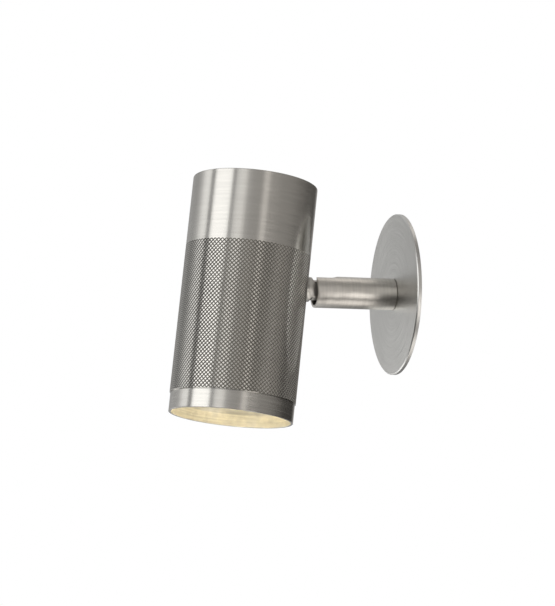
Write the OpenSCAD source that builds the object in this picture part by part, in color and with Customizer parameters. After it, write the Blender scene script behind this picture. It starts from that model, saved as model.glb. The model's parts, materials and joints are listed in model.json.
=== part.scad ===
// Adjustable tube spot for a wall: a round plate on the wall, a stem that turns on a hub,
// and a knurled tube head that tilts on a hidden hinge and holds a twist-lock reflector lamp.
//
// Row frame: +Z is up, the wall is the plane Y = 0 and the light stands out from it along -Y.
// Wall and stem pieces are drawn "out from the wall": local x is X, local y is up (Z) and
// local z is the distance from the wall. Head and lamp pieces are drawn in the head's own
// frame: the origin is on the hinge axis, z runs up the head and y points back to the wall.

/* [Pose] */
// How far the mouth of the head swings out from the wall at rest, in degrees
head_tilt = 6.6; // [0:0.2:12]

/* [Wall plate] */
// Diameter of the round wall plate
plate_d = 84.4; // [80:0.2:96]
// Thickness of the plate where it lies over the strap
plate_web = 1; // [0.8:0.1:2]
// Width of the flat ring on which the plate rests against the wall
plate_rim = 2.2; // [1.5:0.1:4]
// Chamfer of the plate's front edge
plate_edge = 0.5; // [0.2:0.1:0.8]

/* [Wall strap] */
// Thickness of the mounting strap that hides in the hollow of the plate
strap_t = 1.2; // [1:0.1:2]
// Width of the strap
strap_w = 18; // [14:0.5:20]
// Distance between the two wall screws, that of a round wall box
screw_spacing = 60; // [58:0.5:62]
// Width of the slots for the wall screws
slot_w = 4.3; // [3.5:0.1:5]
// Length of the slots for the wall screws
slot_l = 8; // [6:0.5:8.5]

/* [Hollow nipple] */
// Outer diameter of the threaded nipple
nipple_d = 10; // [9.5:0.1:10.5]
// Bore of the nipple, for the leads
nipple_bore = 7; // [5.5:0.1:7.5]
// How far the nipple stands out behind the strap, into the wall box
nipple_back = 6; // [5.5:0.5:10]
// How far the nipple reaches out from the wall into the hub
nipple_front = 12; // [9:0.5:12]

/* [Stem] */
// Outer diameter of the stem tube
stem_d = 16.6; // [16.2:0.1:18]
// Wall of the stem tube
stem_wall = 1.4; // [1.2:0.1:1.5]
// Distance from the wall to the open end of the stem
stem_reach = 45; // [44:0.5:46]
// Width of the slot in the top of the stem's end
stem_slot_w = 9; // [8.5:0.1:9.5]
// Length of the slot in the top of the stem's end
stem_slot_l = 12.2; // [11:0.1:13]
// Running gap between the stem's root and the plate
root_gap = 0.25; // [0.15:0.05:0.5]

/* [Hinge] */
// Distance from the wall to the hinge axis
hinge_out = 38.4; // [38:0.1:39.5]
// Thickness of the knuckle between its two flats
knuckle_t = 6.8; // [6:0.1:7]
// Diameter of the knuckle and of its round eye
knuckle_d = 10.5; // [9.5:0.1:10.8]
// Diameter of the knuckle's foot on the head
foot_d = 13; // [12:0.1:14]
// Distance from the hinge axis to the back of the head
hinge_to_head = 11.4; // [11.2:0.1:13]
// Thickness of each friction washer
friction_t = 0.6; // [0.4:0.1:0.8]
// Diameter of the pins that the hinge turns on
pivot_d = 2.4; // [2:0.1:2.6]
// Thread diameter of the small set screws
set_screw_d = 3; // [2.5:0.1:3.5]
// Diameter of the wire channel in the knuckle
channel_d = 4.2; // [3.8:0.1:4.4]
// Diameter of the threaded stud that holds the head
stud_d = 8; // [7:0.5:9]

/* [Head tube] */
// Outer diameter of the head tube
head_d = 65; // [64:0.5:70]
// Wall of the head tube
head_wall = 1.5; // [1.2:0.1:2]
// Height of the top of the head above the hinge axis
head_top = 51.1; // [46:0.1:56]
// Depth of the lower end of the tube below the hinge axis
head_low = 62.5; // [58:0.1:70]
// Chamfer of the tube's two edges
head_edge = 0.4; // [0.2:0.1:0.6]

/* [Cap and trim ring] */
// Thickness of the disc that closes the top
cap_t = 2; // [1.5:0.1:3]
// Depth of the skirt under the disc
cap_skirt = 6; // [4:0.5:8]
// Height of the smooth ring at the mouth
trim_h = 9.9; // [8:0.1:14]
// How much smaller the ring's radius is than the tube's
trim_step = 0.45; // [0.2:0.05:0.8]
// Height of the ring's spigot inside the tube
spigot_h = 8; // [6:0.5:12]
// Wall of the ring at the mouth
trim_wall = 1.3; // [1.2:0.1:2]

/* [Lampholder] */
// Height of the lampholder's lower face above the hinge axis
holder_low = 7; // [5:0.5:8]
// Height of the ceramic lampholder
holder_h = 17; // [15:0.5:18]
// Diameter of the ceramic lampholder
holder_d = 28; // [26:0.5:30]
// Thickness of the steel bracket
bracket_t = 1.5; // [1.2:0.1:2]
// Width of the bracket's arm
arm_w = 13; // [12:0.5:15]
// Distance between the two lampholder screws
holder_screw_spacing = 19; // [18:0.5:20]

/* [Lamp] */
// Diameter of the reflector lamp's face
lamp_d = 50; // [48:0.5:51]
// Length of the lamp's body from its face to its base
lamp_l = 47.5; // [46:0.5:50]
// Distance between the lamp's two pins
pin_spacing = 10; // [9.8:0.1:10.2]
// Diameter of a pin's head
pin_head_d = 5; // [4.6:0.1:5.2]
// Diameter of a pin's neck
pin_neck_d = 3; // [2.8:0.1:3.2]
// How far the lamp turns to lock, in degrees
lock_turn = 20; // [15:1:25]

/* [Leads] */
// Diameter of a single insulated lead
lead_d = 1.5; // [1.2:0.1:1.6]

/* [Clearances] */
// Gap between two pieces that are pressed, screwed or glued together
seat_gap = 0.04; // [0.02:0.01:0.05]
// Gap between pieces that turn on each other
run_gap = 0.06; // [0.04:0.01:0.09]

/* [Hidden] */

$fn = 96;
eps = 0.01;

// Wall side
plate_r = plate_d / 2;
plate_t = strap_t + plate_web;
strap_end = 2;
strap_l = screw_spacing + slot_l + 2 * strap_end;
nipple_r = nipple_d / 2;
nipple_bore_r = nipple_bore / 2;
lock_washer_t = 0.8;
lock_washer_d = 15;
nipple_nut_t = 3;
nipple_nut_af = 14;

// Stem and hub
stem_r = stem_d / 2;
stem_bore_r = stem_r - stem_wall;
stem_root = plate_t + root_gap;
hub_r = stem_bore_r - run_gap;
o_ring_section = 1.2;
o_ring_inset = 4.5;
o_ring_out = plate_t + o_ring_inset;
o_ring_r = hub_r - o_ring_section / 2;
track_w = set_screw_d + 0.4;
track_inset = 1.9;
track_out = nipple_front + track_inset + track_w / 2;
track_depth = 1.6;
track_r = hub_r - track_depth;
hub_end = track_out + track_w;
tip_gap = 0.2;
stop_pin_d = 2;
stop_pin_foot = nipple_bore_r + tip_gap;
stop_pin_top = hub_r - tip_gap;

// Hinge
eye_r = knuckle_d / 2;
eye_gap = 0.35;
fork_inset = 0.4;
fork_front = stem_reach - fork_inset;
fork_tail = 16;
fork_back = hinge_out - fork_tail;
fork_r = stem_bore_r - seat_gap;
fork_gap_w = knuckle_t + 2 * (friction_t + run_gap);
fork_bore_d = 5;
pivot_depth = 1.2;
set_screw_l = 3;
fork_screw_in = 4;
fork_screw_out = fork_back + fork_screw_in;
screw_sink = 0.25;
set_screw_top = stem_r - screw_sink;
socket_depth = 1.2;
flare_l = 3.3;
flare_start = hinge_to_head - flare_l;
flare_end = flare_start + (foot_d - knuckle_d) / 2;
washer_margin = 0.6;
washer_out_r = eye_r - washer_margin;

// Head
head_r = head_d / 2;
head_bore_r = head_r - head_wall;
axis_back = hinge_to_head + head_r;
dowel_d = 1.5;
dowel_depth = 1.6;
dowel_up = (stud_d / 2 + foot_d / 2) / 2;
leg_out_r = head_bore_r - seat_gap;
leg_in_r = leg_out_r - bracket_t;
leg_angle = 2 * asin(arm_w / 2 / leg_out_r);
leg_low = -9;
saddle_d = 13;
saddle_t = 1.5;
saddle_face = leg_in_r - saddle_t;
stud_washer_t = 0.8;
stud_nut_t = 4;
stud_nut_af = stud_d + 5;
stud_proud = 1.5;
stud_tip = axis_back - saddle_face + stud_washer_t + stud_nut_t + stud_proud;
trim_r = head_r - trim_step;
trim_bore_r = trim_r - trim_wall;
mouth = head_low + trim_h;
trim_neck_h = 0.5;
trim_neck_in = 0.5;
spigot_r = head_bore_r - seat_gap;
spigot_wall = 1;
cap_r = head_bore_r - seat_gap;
cap_wall = 1;

// Lampholder and lamp
arm_low = holder_low + holder_h;
arm_top = arm_low + bracket_t;
arm_margin = 4.5;
arm_tip = holder_screw_spacing / 2 + arm_margin;
holder_r = holder_d / 2;
holder_face_t = 2.2;
cavity_h = 8;
cavity_top = holder_low + cavity_h;
holder_edge = 1;
key_gap = 0.4;
key_ease = 0.3;
entry_gap = 0.3;
pin_r = pin_spacing / 2;
head_above_face = 0.4;
pin_head_low = holder_low + holder_face_t + head_above_face;
pin_head_h = 2.8;
contact_d = 4.4;
contact_t = 1;
contact_low = pin_head_low + pin_head_h + tip_gap;
contact_rod_d = 2.6;
contact_depth = 4;
contact_top = arm_low - contact_depth;
lead_hole_d = 3.4;
lamp_gap = 0.3;
lamp_top = holder_low - lamp_gap;
lamp_face = lamp_top - lamp_l;
lamp_r = lamp_d / 2;
lamp_neck_r = 13.5;
lamp_neck_edge = 0.8;
lamp_shoulder = 1.5;
lamp_plug_h = 5;
lamp_pin_sunk = 3;
board_t = 1.6;
led_size = 5;
led_t = 2;
led_ring = 12;
board_low = 12;
lamp_rim_h = 14;
lamp_wall = 1.6;
lens_t = 2.5;
lens_edge = 0.5;
lens_r = lamp_r - lamp_wall - seat_gap;
holder_screw_d = 3;
holder_screw_depth = 7;
screw_head_d = 5.6;
screw_head_h = 2;
earth_back = 21.5;
tag_t = 0.8;
tag_w = 2.8;
tag_margin = 1.8;
tag_l = 7.5;
small_nut_t = 2.4;
screw_edge = 0.3;
driver_slot = 0.8;
tooth_depth = 0.8;
tooth_gap = 1;
screw_proud = 0.6;
small_nut_af = 5.5;

// Leads: three lie round the axis of the nipple, the stem and the knuckle
lead_r = lead_d / 2;
lead_ring = (lead_r + seat_gap) / sin(60);
lead_turn = [90, 210, 330];
lead_break = 0.3;
lead_sides = 8;
lead_in_way = 2.5;
lead_run = 9;
lead_swing = [10, 6, 14];
lead_rise = 12;
lead_drop = 18;
lead_past_stud = 0.6;
lead_seat = 0.1;
lead_bend = 4;
live_beside = [9, 17, 20];
neutral_beside = [-9, 17, 20];
earth_beside = [9.5, 21.5, 18];
earth_arrive = [8, 0, 2];

// Terminal block in the wall box
block_w = 24;
block_l = 15;
block_h = 13;
block_in = 9.5;
block_pitch = 8;
way_up = 6.5;
way_d = 3.2;
way_screw_d = 3;
earth_screw_x = 17;
earth_screw_d = 4;
earth_head_d = 7.2;
earth_head_h = 2.6;
way_screw_apart = 9;
way_screw_sink = 1.4;
way_screw_l = 3.2;
way_screw_bore = way_screw_d + 0.6;
fixing_depth = 2.6;
block_x = -block_in - block_l / 2;

steel = "#a8a6a2";
plate_steel = "#b4b3b0";
dark_steel = "#8b8a87";
brass = "#c9a653";
zinc = "#b9bcc0";
ceramic = "#ece8de";
warm_white = "#f4ecd2";

// Placing

module out_from_wall() rotate([90, 0, 0]) children();

module in_head()
    translate([0, -hinge_out, 0]) rotate([-head_tilt, 0, 0]) children();

module on_head_axis() in_head() translate([0, -axis_back, 0]) children();

// Turns a piece drawn along +z so that it runs from the hinge into the head
module along_knuckle() rotate([90, 0, 0]) children();

// General shapes

module ring(r_out, r_in, h)
    difference() {
        cylinder(r = r_out, h = h);
        translate([0, 0, -1]) cylinder(r = r_in, h = h + 2);
    }

module hex(af, h) cylinder(d = af / cos(30), h = h, $fn = 6);

module hex_nut(af, h, hole_r)
    difference() {
        hex(af, h);
        translate([0, 0, -1]) cylinder(r = hole_r, h = h + 2);
    }

// Toothed washer: a thin ring with notches cut round its rim
module toothed_washer(d, hole_r, h, teeth = 12)
    difference() {
        ring(d / 2, hole_r, h);
        for (i = [0:teeth - 1]) rotate(i * 360 / teeth)
            translate([d / 2, 0, h / 2]) cube([2 * tooth_depth, tooth_gap, h + 2], center = true);
    }

// Slotted screw with its head's underside at z = 0 and its shank below
module slotted_screw(d, l, head_d, head_h)
    difference() {
        union() {
            translate([0, 0, -l]) cylinder(d = d, h = l + eps);
            cylinder(d1 = head_d, d2 = head_d - 2 * screw_edge, h = head_h);
        }
        translate([0, 0, head_h]) cube([head_d + 1, driver_slot, head_h], center = true);
    }

// Set screw along +z with a hex socket in its outer end
module set_screw(d, l)
    difference() {
        cylinder(d = d, h = l);
        translate([0, 0, l - socket_depth]) hex(d / 2, 2 * socket_depth);
    }

function unit(v) = v / norm(v);
function bezier(p, t) =
    pow(1 - t, 3) * p[0] + 3 * pow(1 - t, 2) * t * p[1]
    + 3 * (1 - t) * t * t * p[2] + pow(t, 3) * p[3];
function curve(p, steps) = [for (i = [0:steps]) bezier(p, i / steps)];
function tangent(p, i) =
    unit(p[min(i + 1, len(p) - 1)] - p[max(i - 1, 0)]);

// Round lead swept along a list of points; side is a direction that the route never takes
module lead(p, side)
    let (
        n = len(p),
        rings = [for (i = [0:n - 1])
            let (t = tangent(p, i), a = unit(cross(t, side)), b = cross(t, a))
            [for (k = [0:lead_sides - 1])
                p[i] + lead_r * (cos(k * 360 / lead_sides) * a + sin(k * 360 / lead_sides) * b)]],
        points = [for (loop = rings) each loop],
        last = (n - 1) * lead_sides
    )
    polyhedron(points, concat(
        [[for (k = [lead_sides - 1:-1:0]) k]],
        [[for (k = [0:lead_sides - 1]) last + k]],
        [for (i = [0:n - 2]) for (k = [0:lead_sides - 1])
            let (m = (k + 1) % lead_sides, lo = i * lead_sides, hi = lo + lead_sides)
            each [[lo + k, lo + m, hi + m], [lo + k, hi + m, hi + k]]]
    ));

// Wall side, fixed

module wall_plate()
    color(plate_steel) out_from_wall() difference() {
        union() {
            cylinder(r = plate_r, h = plate_t - plate_edge);
            translate([0, 0, plate_t - plate_edge])
                cylinder(r1 = plate_r, r2 = plate_r - plate_edge, h = plate_edge);
        }
        translate([0, 0, -1]) cylinder(r = plate_r - plate_rim, h = strap_t + 1);
        translate([0, 0, -1]) cylinder(r = nipple_r + seat_gap, h = plate_t + 2);
    }

module slot_cut(h) {
    for (s = [-1, 1]) translate([s * (slot_l - slot_w) / 2, 0, 0]) cylinder(d = slot_w, h = h);
    translate([-(slot_l - slot_w) / 2, -slot_w / 2, 0]) cube([slot_l - slot_w, slot_w, h]);
}

module mounting_strap()
    color(zinc) out_from_wall() difference() {
        translate([-strap_l / 2, -strap_w / 2, 0])
            cube([strap_l, strap_w, strap_t]);
        for (s = [-1, 1]) translate([s * screw_spacing / 2, 0, -1]) slot_cut(strap_t + 2);
        translate([0, 0, -1]) cylinder(r = nipple_r + seat_gap, h = strap_t + 2);
        translate([earth_screw_x, 0, -1])
            cylinder(r = earth_screw_d / 2 + seat_gap, h = strap_t + 2);
        translate([block_x, 0, -1])
            cylinder(r = holder_screw_d / 2 + seat_gap, h = strap_t + 2);
    }

module hollow_nipple()
    color(zinc) out_from_wall() translate([0, 0, -nipple_back])
        ring(nipple_r, nipple_bore_r, nipple_back + nipple_front);

module nipple_nut()
    color(zinc) out_from_wall() translate([0, 0, -lock_washer_t - nipple_nut_t])
        hex_nut(nipple_nut_af, nipple_nut_t, nipple_r + seat_gap);

module nipple_lock_washer()
    color(zinc) out_from_wall() translate([0, 0, -lock_washer_t])
        toothed_washer(lock_washer_d, nipple_r + seat_gap, lock_washer_t);

module stem_hub()
    color(brass) out_from_wall() difference() {
        translate([0, 0, plate_t]) cylinder(r = hub_r, h = hub_end - plate_t);
        cylinder(r = nipple_r + seat_gap, h = nipple_front + tip_gap);
        cylinder(r = nipple_bore_r, h = hub_end + 1);
        translate([0, 0, track_out - track_w / 2]) ring(hub_r + 1, track_r, track_w);
        translate([0, 0, o_ring_out - o_ring_section / 2])
            ring(hub_r + 1, hub_r - o_ring_section, o_ring_section);
        translate([0, 0, track_out]) rotate([0, 90, 0])
            cylinder(r = stop_pin_d / 2 + seat_gap, h = hub_r + 1);
    }

module hub_o_ring()
    color("#2c2c2c") out_from_wall() translate([0, 0, o_ring_out])
        rotate_extrude() translate([o_ring_r, 0]) circle(d = o_ring_section - 2 * seat_gap, $fn = 32);

module hub_stop_pin()
    color(dark_steel) out_from_wall() translate([stop_pin_foot, 0, track_out])
        rotate([0, 90, 0]) cylinder(d = stop_pin_d, h = stop_pin_top - stop_pin_foot);

module strap_earth_tag()
    color(zinc) out_from_wall() translate([earth_screw_x, 0, -tag_t]) difference() {
        union() {
            cylinder(r = earth_screw_d / 2 + tag_margin, h = tag_t);
            translate([-tag_w / 2, 0, 0]) cube([tag_w, tag_l, tag_t]);
        }
        translate([0, 0, -1]) cylinder(r = earth_screw_d / 2 + seat_gap, h = tag_t + 2);
    }

module strap_earth_screw()
    color(brass) out_from_wall() translate([earth_screw_x, 0, -tag_t]) rotate([180, 0, 0])
        slotted_screw(earth_screw_d, tag_t + strap_t, earth_head_d, earth_head_h);

// Three ways one above the other: wire holes run along X, clamp screws stand on the back
module terminal_block()
    color("#e9e6dc") out_from_wall() difference() {
        translate([-block_in - block_l, -block_w / 2, -block_h]) cube([block_l, block_w, block_h]);
        for (k = [-1:1]) {
            translate([-block_in - block_l - 1, k * block_pitch, -way_up])
                rotate([0, 90, 0]) cylinder(d = way_d, h = block_l + 2);
            for (s = [-1, 1])
                translate([block_x + s * way_screw_apart / 2, k * block_pitch, -block_h - 1])
                    cylinder(d = way_screw_bore, h = block_h - way_up + 1);
        }
        translate([block_x, 0, -fixing_depth - tip_gap])
            cylinder(r = holder_screw_d / 2 + seat_gap, h = fixing_depth + 1);
    }

module terminal_screws()
    color(brass) out_from_wall() for (k = [-1:1], s = [-1, 1])
        translate([block_x + s * way_screw_apart / 2, k * block_pitch, -block_h + way_screw_sink])
            difference() {
                cylinder(r = way_screw_bore / 2 - seat_gap, h = way_screw_l);
                cube([way_screw_bore + 1, driver_slot, driver_slot], center = true);
            }

module terminal_fixing_screw()
    color(zinc) out_from_wall() translate([block_x, 0, -fixing_depth])
        cylinder(d = holder_screw_d, h = fixing_depth + strap_t);

// From a way of the block, round behind the nipple and through it to the end of the hub
module wall_lead(i)
    let (
        x = lead_ring * cos(lead_turn[i]),
        z = lead_ring * sin(lead_turn[i]),
        way_z = [block_pitch, -block_pitch, 0][i],
        start = [-block_in - lead_in_way, way_up, way_z],
        exit = [x, nipple_back + lead_break, z]
    )
    lead(concat(
        curve([start, start + [lead_run, 0, 0], exit + [0, lead_swing[i], z], exit], 14),
        [[x, -hub_end + lead_break, z]]
    ), [0, 0.35, 1]);

module wall_live_lead() color("#6b3f23") wall_lead(0);
module wall_neutral_lead() color("#2f62b0") wall_lead(1);
module wall_earth_lead() color("#6f9a2a") wall_lead(2);

// Stem, turns on the hub

module stem_end_slot() {
    translate([-stem_slot_w / 2, 0, stem_reach - stem_slot_l + stem_slot_w / 2])
        cube([stem_slot_w, stem_r + 1, stem_slot_l]);
    translate([0, 0, stem_reach - stem_slot_l + stem_slot_w / 2])
        rotate([-90, 0, 0]) cylinder(d = stem_slot_w, h = stem_r + 1);
}

module stem_tube()
    color(steel) out_from_wall() difference() {
        translate([0, 0, stem_root]) cylinder(r = stem_r, h = stem_reach - stem_root);
        cylinder(r = stem_bore_r, h = stem_reach + 1);
        stem_end_slot();
        for (out = [track_out, fork_screw_out]) translate([0, 0, out])
            rotate([0, -90, 0]) cylinder(r = set_screw_d / 2 + seat_gap, h = stem_r + 1);
    }

// Plug with two cheeks; the gap between the cheeks is open above and below the knuckle
module hinge_fork()
    color(dark_steel) out_from_wall() difference() {
        translate([0, 0, fork_back]) cylinder(r = fork_r, h = fork_front - fork_back);
        translate([-fork_gap_w / 2, -stem_r, hinge_out - eye_r - eye_gap])
            cube([fork_gap_w, 2 * stem_r, stem_reach]);
        cylinder(d = fork_bore_d, h = stem_reach);
        for (s = [0, 180]) rotate(s) translate([0, 0, hinge_out])
            rotate([0, 90, 0]) cylinder(r = set_screw_d / 2 + seat_gap, h = stem_r);
        translate([0, 0, fork_screw_out]) rotate([0, -90, 0])
            cylinder(r = set_screw_d / 2 + seat_gap, h = stem_r);
    }

module trunnion_screws()
    color(zinc) out_from_wall() for (s = [0, 180]) rotate(s)
        translate([0, 0, hinge_out]) rotate([0, 90, 0]) difference() {
            union() {
                translate([0, 0, knuckle_t / 2 - pivot_depth])
                    cylinder(d = pivot_d, h = pivot_depth + (fork_gap_w - knuckle_t) / 2 + eps);
                translate([0, 0, fork_gap_w / 2])
                    cylinder(d = set_screw_d, h = fork_r - fork_gap_w / 2 - tip_gap);
            }
            translate([0, 0, fork_r - tip_gap - socket_depth]) hex(set_screw_d / 2, 2 * socket_depth);
        }

module friction_washers()
    color("#f0efe9") out_from_wall() for (s = [0, 180]) rotate(s)
        translate([knuckle_t / 2 + run_gap, 0, hinge_out]) rotate([0, 90, 0])
            ring(washer_out_r, pivot_d / 2 + run_gap, friction_t);

// The inner one rides in the hub's track and keeps the stem on; the outer one locks the fork
module stem_set_screws()
    color(dark_steel) out_from_wall() {
        translate([-track_r - tip_gap, 0, track_out]) rotate([0, -90, 0])
            set_screw(set_screw_d, set_screw_top - track_r - tip_gap);
        translate([-set_screw_top + set_screw_l, 0, fork_screw_out]) rotate([0, -90, 0])
            set_screw(set_screw_d, set_screw_l);
    }

module stem_lead(i)
    out_from_wall() translate([
        lead_ring * cos(lead_turn[i]), lead_ring * sin(lead_turn[i]), hub_end + lead_break
    ]) cylinder(r = lead_r, h = hinge_out - eye_r - eye_gap - hub_end - lead_break, $fn = 24);

module stem_live_lead() color("#6b3f23") stem_lead(0);
module stem_neutral_lead() color("#2f62b0") stem_lead(1);
module stem_earth_lead() color("#6f9a2a") stem_lead(2);

// Head, tilts on the hinge

// Turned body with a flared foot, milled to two flats, with a round eye about the hinge
module swivel_knuckle()
    color(steel) in_head() difference() {
        union() {
            intersection() {
                union() {
                    rotate([0, 90, 0]) cylinder(r = eye_r, h = knuckle_t, center = true);
                    along_knuckle() cylinder(r = eye_r, h = flare_start + eps);
                    along_knuckle() translate([0, 0, flare_start])
                        cylinder(r1 = eye_r, r2 = foot_d / 2, h = flare_end - flare_start);
                    along_knuckle() translate([0, 0, flare_end])
                        cylinder(r = foot_d / 2, h = hinge_to_head + 1 - flare_end);
                }
                translate([-knuckle_t / 2, -stud_tip, -foot_d])
                    cube([knuckle_t, stud_tip + foot_d, 2 * foot_d]);
                difference() {
                    translate([-foot_d, -stud_tip, -foot_d])
                        cube([2 * foot_d, stud_tip + foot_d, 2 * foot_d]);
                    translate([0, -axis_back, -foot_d])
                        cylinder(r = head_r + seat_gap, h = 2 * foot_d);
                }
            }
            along_knuckle() translate([0, 0, hinge_to_head - 1])
                cylinder(d = stud_d, h = stud_tip - hinge_to_head + 1);
        }
        along_knuckle() translate([0, 0, -eye_r - 1])
            cylinder(d = channel_d, h = stud_tip + eye_r + 2);
        for (s = [0, 180]) rotate([0, 0, s]) rotate([0, 90, 0])
            translate([0, 0, knuckle_t / 2 - pivot_depth - run_gap])
                cylinder(r = pivot_d / 2 + run_gap, h = pivot_depth + 1);
        translate([0, -hinge_to_head + dowel_depth, dowel_up]) along_knuckle()
            cylinder(r = dowel_d / 2 + seat_gap, h = dowel_depth + 1);
    }

module knuckle_dowel()
    color(dark_steel) in_head() translate([0, -hinge_to_head + dowel_depth - tip_gap, dowel_up])
        along_knuckle() cylinder(d = dowel_d, h = dowel_depth + head_wall - 2 * tip_gap);

module head_tube()
    color(steel) on_head_axis() difference() {
        union() {
            translate([0, 0, -head_low + head_edge])
                cylinder(r = head_r, h = head_low + head_top - 2 * head_edge);
            translate([0, 0, -head_low])
                cylinder(r1 = head_r - head_edge, r2 = head_r, h = head_edge);
            translate([0, 0, head_top - head_edge])
                cylinder(r1 = head_r, r2 = head_r - head_edge, h = head_edge);
        }
        translate([0, 0, -head_low - 1]) cylinder(r = head_bore_r, h = head_low + head_top + 2);
        rotate([-90, 0, 0]) cylinder(r = stud_d / 2 + seat_gap, h = head_r + 1);
        translate([0, 0, dowel_up]) rotate([-90, 0, 0])
            cylinder(r = dowel_d / 2 + seat_gap, h = head_r + 1);
    }

module top_cap()
    color(steel) on_head_axis() {
        translate([0, 0, head_top - cap_t]) cylinder(r = cap_r, h = cap_t);
        translate([0, 0, head_top - cap_t - cap_skirt]) ring(cap_r, cap_r - cap_wall, cap_skirt + eps);
    }

// Smooth ring at the mouth; a shallow neck under the tube makes the shadow line
module trim_ring()
    color(steel) on_head_axis() difference() {
        union() {
            translate([0, 0, -mouth]) cylinder(r = trim_r, h = trim_h - trim_neck_h);
            translate([0, 0, -head_low - trim_neck_h - eps])
                cylinder(r = trim_r - trim_neck_in, h = trim_neck_h + eps);
            translate([0, 0, -head_low - eps]) cylinder(r = spigot_r, h = spigot_h + eps);
        }
        translate([0, 0, -mouth - 1]) cylinder(r = trim_bore_r, h = trim_h - trim_wall + 1);
        translate([0, 0, -mouth]) cylinder(r = spigot_r - spigot_wall, h = trim_h + spigot_h + 1);
    }

module saddle_washer()
    color(zinc) in_head() difference() {
        intersection() {
            translate([0, -axis_back, 0]) rotate([-90, 0, 0]) translate([0, 0, saddle_face])
                cylinder(d = saddle_d, h = bracket_t + saddle_t + 1);
            translate([0, -axis_back, -saddle_d]) cylinder(r = leg_in_r - seat_gap, h = 2 * saddle_d);
        }
        along_knuckle() cylinder(r = stud_d / 2 + seat_gap, h = axis_back);
    }

module stud_lock_washer()
    color(zinc) on_head_axis() translate([0, saddle_face, 0]) along_knuckle()
        toothed_washer(saddle_d, stud_d / 2 + seat_gap, stud_washer_t);

module stud_nut()
    color(zinc) on_head_axis() translate([0, saddle_face - stud_washer_t, 0]) along_knuckle()
        hex_nut(stud_nut_af, stud_nut_t, stud_d / 2 + seat_gap);

// Bent steel strip: a leg curved to the tube's wall and an arm over the lampholder
module lampholder_bracket()
    color(zinc) on_head_axis() difference() {
        union() {
            translate([0, 0, leg_low]) rotate(90 - leg_angle / 2)
                rotate_extrude(angle = leg_angle)
                    translate([leg_in_r, 0]) square([bracket_t, arm_top - leg_low]);
            translate([-arm_w / 2, -arm_tip, arm_low])
                cube([arm_w, arm_tip + leg_in_r + bracket_t / 2, bracket_t]);
        }
        rotate([-90, 0, 0]) cylinder(r = stud_d / 2 + seat_gap, h = head_r);
        for (s = [-1, 1]) translate([0, s * holder_screw_spacing / 2, arm_low - 1])
            cylinder(r = holder_screw_d / 2 + seat_gap, h = bracket_t + 2);
        translate([0, earth_back, arm_low - 1])
            cylinder(r = holder_screw_d / 2 + seat_gap, h = bracket_t + 2);
        for (s = [-1, 1]) translate([s * pin_r, 0, arm_low - 1])
            cylinder(d = lead_hole_d, h = bracket_t + 2);
    }

// Room that a pin of radius r sweeps as the lamp locks, from the open place to the locked one,
// which is a little deeper
module key_sweep(r, h) {
    rotate_extrude(angle = lock_turn) translate([pin_r - r + key_ease, 0])
        square([2 * (r - key_ease), h - key_ease]);
    rotate(lock_turn) translate([pin_r, 0, 0]) cylinder(r = r, h = h - key_ease);
    translate([pin_r, 0, 0]) cylinder(r = r, h = h);
}

module lampholder_body()
    color(ceramic) on_head_axis() difference() {
        union() {
            translate([0, 0, holder_low])
                cylinder(r1 = holder_r - holder_edge, r2 = holder_r, h = holder_edge);
            translate([0, 0, holder_low + holder_edge])
                cylinder(r = holder_r, h = holder_h - holder_edge);
        }
        for (s = [0, 180]) rotate(s) {
            translate([0, 0, holder_low - 1]) key_sweep(pin_neck_d / 2 + key_gap, 2 + holder_face_t);
            translate([0, 0, holder_low + holder_face_t])
                key_sweep(pin_head_d / 2 + key_gap, cavity_top - holder_low - holder_face_t);
            rotate(lock_turn) translate([pin_r, 0, holder_low - 1])
                cylinder(r = pin_head_d / 2 + entry_gap, h = 2 + holder_face_t);
            translate([pin_r, 0, cavity_top - 1]) cylinder(d = contact_rod_d + 2 * tip_gap, h = holder_h);
        }
        for (s = [-1, 1])
            translate([0, s * holder_screw_spacing / 2, arm_low - holder_screw_depth - 1])
                cylinder(r = holder_screw_d / 2 + seat_gap, h = holder_screw_depth + 2);
    }

module lampholder_contacts()
    color(brass) on_head_axis() for (s = [0, 180]) rotate(s) {
        translate([pin_r, 0, contact_low]) cylinder(d = contact_d, h = contact_t);
        translate([pin_r, 0, contact_low + contact_t - eps])
            cylinder(d = contact_rod_d, h = contact_top - contact_low - contact_t + eps);
    }

module lampholder_screws()
    color(zinc) on_head_axis() for (s = [-1, 1])
        translate([0, s * holder_screw_spacing / 2, arm_top])
            slotted_screw(holder_screw_d, bracket_t + holder_screw_depth, screw_head_d, screw_head_h);

// A point given from the head's axis, in the head's own frame
function from_axis(p) = p - [0, axis_back, 0];

// From the eye through the knuckle and the stud, up beside the bracket's arm and over to its end
module head_lead(i, beside, end, arrive)
    let (
        x = lead_ring * cos(lead_turn[i]),
        z = lead_ring * sin(lead_turn[i]),
        bend = [x, -stud_tip - lead_past_stud, z]
    )
    in_head() lead(concat(
        [[x, eye_r, z]],
        curve([bend, bend + [0, -lead_bend, 0], beside - [0, 0, lead_rise], beside], 10),
        [for (k = [1:12]) bezier([beside, beside + [0, 0, lead_rise], end + arrive, end], k / 12)]
    ), [1, 0.3, 0.2]);

module head_live_lead() color("#6b3f23")
    head_lead(0, from_axis(live_beside), from_axis([pin_r, 0, contact_top + lead_seat]),
        [0, 0, lead_drop]);
module head_neutral_lead() color("#2f62b0")
    head_lead(1, from_axis(neutral_beside), from_axis([-pin_r, 0, contact_top + lead_seat]),
        [0, 0, lead_drop]);
module head_earth_lead() color("#6f9a2a")
    head_lead(2, from_axis(earth_beside),
        from_axis([0, earth_back - tag_l + tag_w / 2, arm_top + tag_t + lead_r + seat_gap]),
        earth_arrive);

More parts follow.
